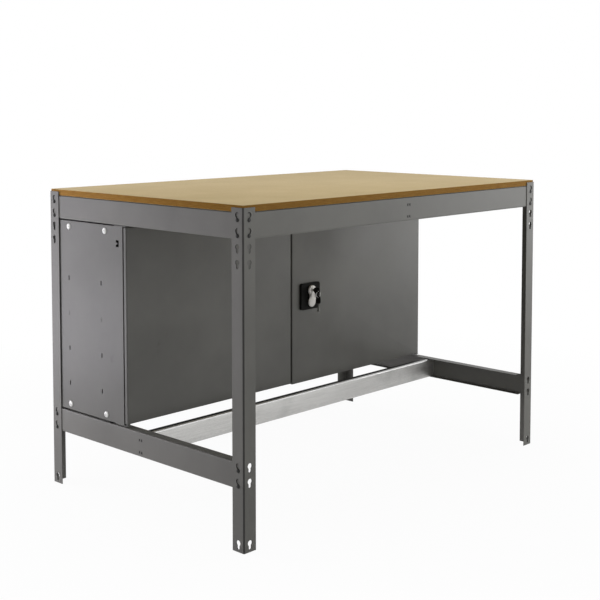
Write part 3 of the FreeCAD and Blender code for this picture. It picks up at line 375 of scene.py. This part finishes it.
def joined_copy(name):
    """A CAD node's mesh with its loose triangles joined."""
    shape = bmesh.new()
    shape.from_mesh(frame["nodes"][name].data)
    bmesh.ops.remove_doubles(shape, verts=shape.verts, dist=JOIN_CAD)
    return shape


def sheet_copy(name):
    """A CAD node's joined mesh with each flat face in one piece."""
    shape = joined_copy(name)
    bmesh.ops.dissolve_limit(shape, angle_limit=radians(0.5), use_dissolve_boundaries=False,
                             verts=shape.verts, edges=shape.edges, delimit=set())
    return shape


def everything(shape):
    return list(shape.verts) + list(shape.edges) + list(shape.faces)


def rounded(shape, geometry, width, steps, affect="EDGES"):
    """Rounds edges or corners off, with a width in millimetres."""
    bmesh.ops.bevel(shape, geom=geometry, offset=width * MM, segments=steps, profile=0.5,
                    material=-1, affect=affect)


def box_at(centre, sides):
    """The matrix that makes a unit cube a box of these sides at a place."""
    return Matrix.Translation(centre) @ Matrix.Diagonal((*sides, 1.0))


# Places on the folded frame, from the bench's middle along X and Y
LEG_INSIDE = (598.2 * MM, 373.2 * MM)       # inner faces of the legs
BEAM_INSIDE = (596.9 * MM, 371.9 * MM)      # just inside the upright walls of the beams
SLIT_HALF = 12 * MM

# Where a leg's keyholes lie: from its inner corner along a flange, and in height
HOLES_ALONG = (3 * MM, 32 * MM)
HOLES_UP = (3 * MM, 790 * MM)

# Parts of a face's normal: across a sheet for a cut wall, and up for the crossbar's faces
CUT_WALL = 0.2
UPRIGHT, SLANTED, LEVEL = 0.15, 0.95, 0.97


def keyhole_wall(spot, normal):
    """Faces of the punched walls of a leg's keyholes."""
    inward = (LEG_INSIDE[0] - abs(spot.x), LEG_INSIDE[1] - abs(spot.y))
    along, across = (0, 1) if inward[1] < 0 else (1, 0)
    return (HOLES_ALONG[0] < inward[along] < HOLES_ALONG[1]
            and HOLES_UP[0] < spot.z < HOLES_UP[1] and abs(normal[across]) < CUT_WALL)


def hook_end(spot, normal):
    """Faces of a crossbar's hooks that lie in the slits of the beams."""
    return abs(spot.x) > BEAM_INSIDE[0] or abs(spot.y) > BEAM_INSIDE[1]


def slit_wall(spot, normal):
    """Faces of the walls of the slits that the hooks of the crossbars sit in."""
    if abs(spot.y) < SLIT_HALF:
        above_bottom_edge = spot.z > 150 * MM
        return (abs(spot.x) > BEAM_INSIDE[0] and abs(normal.x) < CUT_WALL
                and above_bottom_edge)
    return (abs(spot.x) < SLIT_HALF and abs(spot.y) > BEAM_INSIDE[1]
            and abs(normal.y) < CUT_WALL)


def bar_fold(spot, normal):
    """Faces of the rounded fold along the top of the lower crossbar."""
    faces_front = normal.y < -0.1
    return faces_front and UPRIGHT < normal.z < SLANTED


def bar_lip_shade(spot, normal):
    """The flat lip along the top of the lower crossbar, dark as painted shade and reflection."""
    at_the_top = spot.z > SPOT["lower_crossbar"][1].z - 0.5 * MM
    return at_the_top and normal.z > LEVEL


def second_finish(piece, material, chosen):
    """Gives some faces of a piece another finish."""
    piece.data.materials.append(material)
    for face in piece.data.polygons:
        if chosen(face.center, face.normal):
            face.material_index = len(piece.data.materials) - 1


def rolled_bar(name):
    """The lower crossbar with the outer folds of its slanting top rolled round."""
    shape = sheet_copy(name)
    low, high = SPOT[name]
    long_edge = 1.0
    slant = 3.7 * MM
    folds = [edge for edge in shape.edges
             if edge.calc_length() > long_edge and len(edge.link_faces) == 2
             and min(vertex.co.z for vertex in edge.verts) > high.z - slant
             and max(vertex.co.y for vertex in edge.verts) < low.y + slant
             and edge.calc_face_angle_signed(0.0) > radians(20)]
    rounded(shape, folds, width=1.9, steps=5)
    return shape


def eased(name, material, width, steps=2, shape=None):
    """Stands for a CAD node, with its sharp edges eased as folded or moulded ones are."""
    piece = add_piece(name + "_eased", shape or sheet_copy(name), body_of(name),
                      [material], [name])
    ease = piece.modifiers.new("ease", "BEVEL")
    ease.width = width * MM
    ease.segments = steps
    ease.profile = 0.5
    ease.limit_method = "ANGLE"
    ease.angle_limit = radians(SHARP_DEGREES)
    ease.harden_normals = True
    ease.use_clamp_overlap = True
    return piece


def islands(name):
    """Lowest and highest corner of each separate solid in a CAD node."""
    shape = joined_copy(name)
    waiting = set(shape.verts)
    found = []
    for first in shape.verts:
        if first not in waiting:
            continue
        waiting.remove(first)
        reached = [first]
        corners = []
        while reached:
            vertex = reached.pop()
            corners.append(vertex.co.copy())
            for edge in vertex.link_edges:
                other = edge.other_vert(vertex)
                if other in waiting:
                    waiting.remove(other)
                    reached.append(other)
        low = Vector([min(corner[axis] for corner in corners) for axis in range(3)])
        high = Vector([max(corner[axis] for corner in corners) for axis in range(3)])
        found.append((low, high))
    shape.free()
    return found


def turned(profile, steps):
    """Spins a profile of (radius, height) pairs, in millimetres, about Z into a closed shape."""
    shape = bmesh.new()
    points = [shape.verts.new((radius * MM, 0.0, height * MM)) for radius, height in profile]
    lines = [shape.edges.new(pair) for pair in zip(points, points[1:])]
    bmesh.ops.spin(shape, geom=points + lines, cent=(0, 0, 0), axis=(0, 0, 1), dvec=(0, 0, 0),
                   angle=2 * pi, steps=steps, use_merge=True, use_duplicate=False)
    bmesh.ops.remove_doubles(shape, verts=shape.verts, dist=JOIN_NEW)
    bmesh.ops.recalc_face_normals(shape, faces=shape.faces)
    return shape


def repeated(master, places):
    """One bmesh with a copy of the master at each place."""
    mesh = bpy.data.meshes.new("master")
    master.to_mesh(mesh)
    master.free()
    whole = bmesh.new()
    for place in places:
        mesh.transform(place)
        whole.from_mesh(mesh)
        mesh.transform(place.inverted())
    bpy.data.meshes.remove(mesh)
    return whole


def facing_out(low, high, axis):
    """Turns +Z to the bench's outside along an axis, at the middle of a solid's inner end."""
    centre = (low + high) / 2
    sign = 1.0 if centre[axis] > 0 else -1.0
    direction = Vector((0.0, 0.0, 0.0))
    direction[axis] = sign
    centre[axis] = low[axis] if sign > 0 else high[axis]
    return Matrix.Translation(centre) @ direction.to_track_quat("Z", "Y").to_matrix().to_4x4()


# Worktop board: pressed face above and below, sawn edges round it
low, high = SPOT["worktop"]
board = bmesh.new()
bmesh.ops.create_cube(board, size=1.0, matrix=box_at((low + high) / 2, high - low))
rounded(board, list(board.edges), width=0.9, steps=3)
for face in board.faces:
    pressed = abs(face.normal.z) > 0.6
    face.material_index = 0 if pressed else 1
add_piece("board", board, "frame", [BOARD_FACE, BOARD_EDGE], ["worktop"])

# Folded and cut pieces that keep their CAD shape, with eased edges
# Keyhole walls in dark cut steel as painted shade
for name in ("leg_front_left", "leg_front_right", "leg_rear_left", "leg_rear_right"):
    second_finish(eased(name, LEG_GREY, width=0.35), CUT_EDGE_SHADE, keyhole_wall)
# Slit walls of the beams in dark cut steel as painted shade
for name in ("upper_beam_front", "upper_beam_rear", "upper_beam_left", "upper_beam_right"):
    second_finish(eased(name, UPPER_BEAM_GREY, width=0.3), CUT_EDGE_SHADE, slit_wall)
for name in ("lower_beam_left", "lower_beam_right"):
    second_finish(eased(name, FRAME_GREY, width=0.3), CUT_EDGE_SHADE, slit_wall)
lower_bar = eased("lower_crossbar", GALVANISED_ALONG_X, width=0.3,
                  shape=rolled_bar("lower_crossbar"))
# A painted highlight on the crossbar's fold
second_finish(lower_bar, FOLD_HIGHLIGHT, bar_fold)
# Painted shade and reflection on the crossbar's top lip
second_finish(lower_bar, CUT_EDGE_SHADE, bar_lip_shade)
# Painted shade on the hook ends in the slits
second_finish(lower_bar, CUT_EDGE_SHADE, hook_end)
second_finish(eased("worktop_support_bar", GALVANISED_ALONG_Y, width=0.3), CUT_EDGE_SHADE, hook_end)
for name in ("cabinet_side_left", "cabinet_side_right", "shelf", "door_left_panel",
             "door_right_panel", "hinge_brackets_lower", "hinge_brackets_upper", "shelf_clips"):
    eased(name, CABINET_GREY, width=0.45)
for name in ("cabinet_front_stiles", "cabinet_rear_stiles", "cabinet_top", "cabinet_top_rails",
             "cabinet_top_ends", "cabinet_bottom", "cabinet_bottom_rails", "cabinet_bottom_ends",
             "cabinet_back", "door_left_stiffener", "door_right_stiffener"):
    eased(name, CABINET_GREY, width=0.2)
for name in ("cabinet_nuts", "cabinet_mounting_bolts", "cabinet_mounting_nuts", "lock_housing",
             "lock_spindle", "lock_cam", "lock_cam_nut", "upper_lock_rod", "lower_lock_rod"):
    eased(name, ZINC, width=0.3)
for name in ("cabinet_spacers", "door_left_bushes", "door_right_bushes", "rod_guides"):
    eased(name, BLACK, width=0.3)
eased("door_buffers", RUBBER, width=1.2, steps=4)
eased("lock_plate", BLACK, width=1.4, steps=4)
eased("lock_cylinder", NICKEL, width=0.3)

# Rivets, shorter than they are wide: domed head outside the leg, tail inside the beam
RIVET_PROFILE = [(0.0, 0.0), (4.2, 0.0), (5.0, 0.5), (5.0, 1.0), (3.5, 1.0), (3.5, 4.0),
                 (4.9, 4.0), (4.9, 4.35), (4.5, 5.2), (3.5, 5.85), (2.0, 6.15), (0.0, 6.2)]
for name in ("upper_beam_rivets", "lower_beam_rivets"):
    places = []
    for low, high in islands(name):
        extent = high - low
        length_axis = min(range(3), key=lambda axis: extent[axis])
        places.append(facing_out(low, high, length_axis))
    rivets = repeated(turned(RIVET_PROFILE, steps=28), places)
    add_piece(name + "_domed", rivets, "frame", [RIVET], [name])

# Cabinet screws: pan heads with a driving slot, each left at another angle
SCREW_PROFILE = [(0.0, 0.0), (2.4, 0.0), (3.0, 0.6), (3.0, 8.5), (8.2, 8.5), (8.2, 9.0),
                 (7.7, 9.9), (6.6, 10.6), (5.0, 11.1), (3.0, 11.25), (0.0, 11.3)]
DRIVE_HALF_WIDTH = 0.75 * MM
DRIVE_DEPTH = 1.3 * MM
DRIVE_ABOVE = 10.9 * MM     # the slot runs through the part of the head above this
SCREW_TURN = 0.5            # radians from one screw to the next
screw = turned(SCREW_PROFILE, steps=32)
for side in (-DRIVE_HALF_WIDTH, DRIVE_HALF_WIDTH):
    bmesh.ops.bisect_plane(screw, geom=everything(screw), plane_co=(side, 0, 0),
                           plane_no=(1, 0, 0), dist=0.1 * JOIN_NEW)
slot_faces = [face for face in screw.faces
              if abs(face.calc_center_median().x) < DRIVE_HALF_WIDTH
              and face.calc_center_median().z > DRIVE_ABOVE and face.normal.z > 0.5]
sunk = bmesh.ops.extrude_face_region(screw, geom=slot_faces)["geom"]
sunk_points = [item for item in sunk if isinstance(item, bmesh.types.BMVert)]
bmesh.ops.translate(screw, vec=(0, 0, -DRIVE_DEPTH), verts=sunk_points)
bmesh.ops.delete(screw, geom=slot_faces, context="FACES")
places = [facing_out(low, high, 0) @ Matrix.Rotation(SCREW_TURN * index, 4, "Z")
          for index, (low, high) in enumerate(islands("cabinet_screws"))]
add_piece("cabinet_screws_panhead", repeated(screw, places), "frame", [ZINC],
          ["cabinet_screws"])


def edges_at(vertices):
    """The edges that meet some vertices, each once."""
    return list(dict.fromkeys(edge for vertex in vertices for edge in vertex.link_edges))


def ring_of(shape, count, centre, place_of):
    """A closed loop about a centre, made as a circle and then moved into its outline."""
    made = bmesh.ops.create_circle(shape, cap_ends=False, segments=count, radius=1.0)
    for vertex in made["verts"]:
        x, z = place_of(vertex.co.x, vertex.co.y)
        vertex.co = Vector((centre[0] + x * MM, centre[1], centre[2] + z * MM))
    return edges_at(made["verts"])


def circle_place(radius):
    return lambda x, y: (radius * x, radius * y)


def drawn_back(shape, edges, depth):
    """Draws a loop of edges back along Y by some millimetres and gives the new loop."""
    made = bmesh.ops.extrude_edge_only(shape, edges=edges)["geom"]
    points = {item for item in made if isinstance(item, bmesh.types.BMVert)}
    bmesh.ops.translate(shape, vec=(0, depth * MM, 0), verts=list(points))
    return [item for item in made if isinstance(item, bmesh.types.BMEdge)
            and points.issuperset(item.verts)]


# Lock handle: two round lobes joined by a waist, a bore for the barrel, and a boss behind
LOBE = 14.0             # radius of each lobe
REACH = 36.0            # from the upper lobe's middle to the lower one's
WAIST = 9.0             # half the width between them
BORE = 6.56             # radius round the barrel
BORE_DEPTH = 7.0
BOSS = 9.5              # radius of the boss
LEVER_DEPTH = 6.5
HANDLE_DEPTH = 9.0      # with the boss
FACE_ROUNDING = 2.8
SLOPE = 3.2             # how far the face leans back at the slope's foot
SLOPE_BELOW = 2.0       # from the lower lobe's tip down to the slope's foot
SLOPE_CUTS = 5
HANDLE_STEPS = 96


def peanut(x, y):
    """Point of the handle's outline in the direction of a unit circle's point."""
    half_span = LOBE + REACH / 2
    height = half_span * y + LOBE - half_span
    upper = sqrt(max(LOBE ** 2 - height ** 2, 0.0))
    lower = sqrt(max(LOBE ** 2 - (height + REACH) ** 2, 0.0))
    waist = WAIST if -REACH < height < 0.0 else 0.0
    half = min((upper ** 4 + lower ** 4 + waist ** 4) ** 0.25, LOBE)
    if x == 0:
        return 0.0, height
    return (half if x > 0 else -half), height


def lock_handle():
    """The handle about its turning axis, which is the upper lobe's middle."""
    low, high = SPOT["lock_handle"]
    pivot = Vector(((low.x + high.x) / 2, low.y, high.z - LOBE * MM))
    boss_centre = pivot + Vector((0, LEVER_DEPTH * MM, 0))
    handle = bmesh.new()
    outer = ring_of(handle, HANDLE_STEPS, pivot, peanut)
    inner = ring_of(handle, HANDLE_STEPS, pivot, circle_place(BORE))
    bmesh.ops.bridge_loops(handle, edges=outer + inner)
    back = drawn_back(handle, outer, LEVER_DEPTH)
    boss = ring_of(handle, HANDLE_STEPS, boss_centre, circle_place(BOSS))
    bmesh.ops.bridge_loops(handle, edges=back + boss)
    for loop, depth in ((boss, HANDLE_DEPTH - LEVER_DEPTH), (inner, BORE_DEPTH)):
        bmesh.ops.contextual_create(handle, geom=drawn_back(handle, loop, depth))
    rounded(handle, [edge for edge in outer if edge.is_valid], FACE_ROUNDING, steps=6)
    slope_top = pivot.z - LOBE * MM
    slope_foot = low.z - SLOPE_BELOW * MM
    for step in range(SLOPE_CUTS):
        level = slope_top + (slope_foot - slope_top) * step / SLOPE_CUTS
        bmesh.ops.bisect_plane(handle, geom=everything(handle), plane_co=(0, 0, level),
                               plane_no=(0, 0, 1), dist=JOIN_NEW)
    for vertex in handle.verts:
        down = max(0.0, (slope_top - vertex.co.z) / (slope_top - slope_foot))
        forward = max(0.0, 1.0 - (vertex.co.y - low.y) / (LEVER_DEPTH * MM))
        vertex.co.y += SLOPE * MM * down * forward
    return handle


add_piece("lock_handle_peanut", lock_handle(), "lock_handle_set", [NICKEL],
          ["lock_handle"], smooth_below=50)

# Keys: a black bow with a hole for the ring, and a cut blade
BOW_BEHIND, BOW_AHEAD, BOW_HALF_WIDTH = 5.5, 16.5, 8.5      # from the hole's middle
BOW_CORNER = 5.5
BOW_THICKNESS = 3.0
HOLE_RADIUS = 3.2
BLADE_ROOT = 16.0           # from the hole's middle, a little inside the bow
BLADE_IN_BOW = 0.5
BLADE_WIDTH, BLADE_THICKNESS = 6.8, 2.0
CUT_DEPTHS = (0.0, 0.0, 1.3, 0.7, 1.9, 1.1, 0.4, 1.6, 1.0, 1.8, 0.8, 0.0, 1.6)


def key_bow(key):
    """A rounded flat bow along X, with a hole at the middle of the axes."""
    bmesh.ops.create_grid(key, x_segments=1, y_segments=1, size=1.0)
    for vertex in key.verts:
        length = BOW_AHEAD if vertex.co.x > 0 else -BOW_BEHIND
        width = BOW_HALF_WIDTH if vertex.co.y > 0 else -BOW_HALF_WIDTH
        vertex.co = Vector((length * MM, width * MM, 0.0))
    rounded(key, list(key.verts), BOW_CORNER, steps=6, affect="VERTICES")
    rim = list(key.edges)
    bmesh.ops.delete(key, geom=list(key.faces), context="FACES_ONLY")
    hole = bmesh.ops.create_circle(key, cap_ends=False, segments=28, radius=HOLE_RADIUS * MM)
    bmesh.ops.bridge_loops(key, edges=rim + edges_at(hole["verts"]))
    bmesh.ops.solidify(key, geom=list(key.faces), thickness=BOW_THICKNESS * MM)
    height = sum(vertex.co.z for vertex in key.verts) / len(key.verts)
    bmesh.ops.translate(key, vec=(0, 0, -height), verts=key.verts)
    bmesh.ops.recalc_face_normals(key, faces=key.faces)
    sharp = [edge for edge in key.edges if len(edge.link_faces) == 2
             and edge.calc_face_angle(0.0) > radians(60)]
    rounded(key, sharp, width=0.8, steps=3)


def key_blade(key, free_length):
    """A flat blade with cuts along one side, from inside the bow along X."""
    length = free_length + BLADE_IN_BOW
    blade = bmesh.ops.create_cube(key, size=1.0)["verts"]
    sides = Vector((length, BLADE_WIDTH, BLADE_THICKNESS)) * MM
    bmesh.ops.transform(key, verts=blade, matrix=Matrix.Translation((0.5, 0, 0)))
    bmesh.ops.transform(key, verts=blade, matrix=box_at((BLADE_ROOT * MM, 0, 0), sides))
    for vertex in blade:
        for face in vertex.link_faces:
            face.material_index = 1
    long_edges = [edge for edge in edges_at(blade)
                  if abs(edge.verts[0].co.x - edge.verts[1].co.x) > 1.0 * MM]
    last = len(CUT_DEPTHS) - 1
    bmesh.ops.subdivide_edges(key, edges=long_edges, cuts=last - 1, use_grid_fill=True)
    for vertex in key.verts:
        past_root = vertex.co.x > (BLADE_ROOT + 0.1) * MM
        on_cut_side = vertex.co.y < -3.0 * MM
        if past_root and on_cut_side:
            step = round((vertex.co.x / MM - BLADE_ROOT) / length * last)
            vertex.co.y += CUT_DEPTHS[max(0, min(last, step))] * MM


def key_piece(name, hole, along, free_length, body):
    """A key that lies across X: along is the way from its hole to its tip."""
    key = bmesh.new()
    key_bow(key)
    key_blade(key, free_length)
    across = Vector((0.0, along.z, -along.y))
    turn = Matrix((Vector((1, 0, 0)), along, across)).transposed().to_4x4()
    lengthways = Matrix(((0, 0, 1, 0), (1, 0, 0, 0), (0, 1, 0, 0), (0, 0, 0, 1)))
    bmesh.ops.transform(key, verts=key.verts,
                        matrix=Matrix.Translation(hole) @ turn @ lengthways)
    add_piece(name + "_cut", key, body, [BLACK, KEY_STEEL], [name])


low, high = SPOT["key"]
key_hole = Vector(((low.x + high.x) / 2, low.y + BOW_BEHIND * MM, (low.z + high.z) / 2))
key_piece("key", key_hole, along=Vector((0, 1, 0)), free_length=8.5, body="key_in_lock")
low, high = SPOT["spare_key"]
spare_hole = Vector(((low.x + high.x) / 2, (low.y + high.y) / 2, high.z - BOW_BEHIND * MM))
key_piece("spare_key", spare_hole, along=Vector((0, 0, -1)), free_length=23.0,
          body="hanging_key")

# Split ring: two turns of round wire, side by side
WIRE_RADIUS = 0.4 * MM
RING_INSET = 0.8 * MM       # from the ring's outside to the middle of the wire
RING_RISE = 0.76 * MM       # from the wire's start to its end
RING_STEPS = 96
low, high = SPOT["key_ring"]
radius = (high.x - low.x) / 2 - RING_INSET
upright = Matrix.Rotation(pi / 2, 4, "X")
wire = bmesh.new()
start = bmesh.ops.create_circle(wire, cap_ends=True, segments=10, radius=WIRE_RADIUS)["verts"]
bmesh.ops.transform(wire, verts=start,
                    matrix=Matrix.Translation((radius, 0, -RING_RISE / 2)) @ upright)
bmesh.ops.spin(wire, geom=everything(wire), cent=(0, 0, 0), axis=(0, 0, 1),
               dvec=(0, 0, RING_RISE / RING_STEPS), angle=4 * pi, steps=RING_STEPS,
               use_merge=False, use_duplicate=False)
bmesh.ops.transform(wire, verts=wire.verts, matrix=Matrix.Translation((low + high) / 2) @
                    upright @ Matrix.Rotation(pi, 4, "Z"))
add_piece("key_ring_split", wire, "ring", [ZINC], ["key_ring"])


# Floor and light
FLOOR_HALF = 40.0
FLOOR_WHITE = 0.74
SHADED_WITHIN, WHITE_BEYOND = 0.6, 2.0      # distance from the bench's middle
NEAR_SHARE = 0.96                           # of plain white, where the shadow shows
ROOM_LIGHT = 0.15


def background_ray(tree):
    """1 where the camera, gloss or glass sees the background, and 0 for the light it gives."""
    seen, mirrored, refracted = (
        node(tree, "ShaderNodeLightPath", {}, {}, ray)
        for ray in ("Is Camera Ray", "Is Glossy Ray", "Is Transmission Ray"))
    return seen.most(mirrored).most(refracted)


def studio_floor():
    """White paper that fades to the backdrop and keeps the bench's shadow."""
    shape = bmesh.new()
    bmesh.ops.create_grid(shape, x_segments=1, y_segments=1, size=FLOOR_HALF)
    mesh = bpy.data.meshes.new("floor")
    shape.to_mesh(mesh)
    shape.free()
    floor = bpy.data.objects.new("floor", mesh)
    bpy.context.scene.collection.objects.link(floor)
    material = bpy.data.materials.new("pale_floor")
    tree = cleared_tree(material)
    distance = node(tree, "ShaderNodeVectorMath", {"operation": "LENGTH"},
                    {"Vector": object_place(tree)}, "Value")
    share = distance.faded(SHADED_WITHIN, WHITE_BEYOND, NEAR_SHARE, 1.0) * background_ray(tree)
    matte = node(tree, "ShaderNodeBsdfDiffuse", {}, {"Color": opaque(toned(WHITE, FLOOR_WHITE))})
    glow = node(tree, "ShaderNodeEmission", {}, {"Color": opaque(WHITE), "Strength": 1.0})
    close_tree(node(tree, "ShaderNodeMixShader", {}, {0: share, 1: matte, 2: glow}))
    mesh.materials.append(material)


def studio_world():
    """A white room that gives little light."""
    world = bpy.data.worlds.new("studio")
    bpy.context.scene.world = world
    tree = cleared_tree(world)
    strength = background_ray(tree).faded(0.0, 1.0, ROOM_LIGHT, 1.0)
    values = {"Color": opaque(WHITE), "Strength": strength}
    close_tree(node(tree, "ShaderNodeBackground", {}, values), "ShaderNodeOutputWorld")


def softbox(name, spot, aim, size, power, colour=WHITE, gloss=True, spread=180):
    """A rectangular lamp in watts that the camera doesn't see."""
    light = bpy.data.lights.new(name, "AREA")
    light.color = colour
    light.shape = "RECTANGLE"
    light.size, light.size_y = size
    light.energy = power
    light.spread = radians(spread)
    lamp = bpy.data.objects.new(name, light)
    lamp.location = spot
    lamp.rotation_euler = (Vector(aim) - Vector(spot)).to_track_quat("-Z", "Y").to_euler()
    lamp.visible_camera = False
    lamp.visible_glossy = gloss
    bpy.context.scene.collection.objects.link(lamp)


COOL_WHITE = (1.01, 0.98, 1.08)
studio_floor()
studio_world()
softbox("rear_left_softbox", spot=(-1.45, 2.3, 0.80), aim=(-0.6, 0.2, 0.45), size=(1.2, 1.4),
        power=9.0, colour=COOL_WHITE)
softbox("rear_left_strip", spot=(-1.2, 1.1, 0.20), aim=(-0.6, 0.2, 0.35), size=(1.0, 0.35),
        power=2.0, colour=COOL_WHITE)
softbox("left_fill", spot=(-1.5, 1.6, 0.5), aim=(-0.67, 0.05, 0.4), size=(1.0, 1.0),
        power=7.0, colour=COOL_WHITE, gloss=False, spread=70)
softbox("front_right_softbox", spot=(3.0, -1.8, 0.85), aim=(0.5, -0.2, 0.45), size=(1.5, 1.8),
        power=26.0)
softbox("front_softbox", spot=(1.4, -4.2, 1.5), aim=(0.0, 0.0, 0.4), size=(3.0, 2.0),
        power=49.5)
softbox("top_softbox", spot=(0.05, -0.1, 3.6), aim=(0.0, 0.0, 0.8), size=(1.8, 1.4),
        power=44.5)

# Camera at the photograph's place
lens = bpy.data.cameras.new("camera")
lens.lens = 69.61
lens.sensor_width = 36.0
lens.shift_y = -0.20
lens.clip_end = 200.0
camera = bpy.data.objects.new("camera", lens)
camera.location = (-2.3871, -2.2516, 1.0297)
turn, dip = radians(46.426), radians(3.806)
aim = Vector((sin(turn) * cos(dip), cos(turn) * cos(dip), -sin(dip)))
camera.rotation_euler = aim.to_track_quat("-Z", "Y").to_euler()
bpy.context.scene.collection.objects.link(camera)
bpy.context.scene.camera = camera
bpy.context.scene.view_settings.view_transform = "Standard"
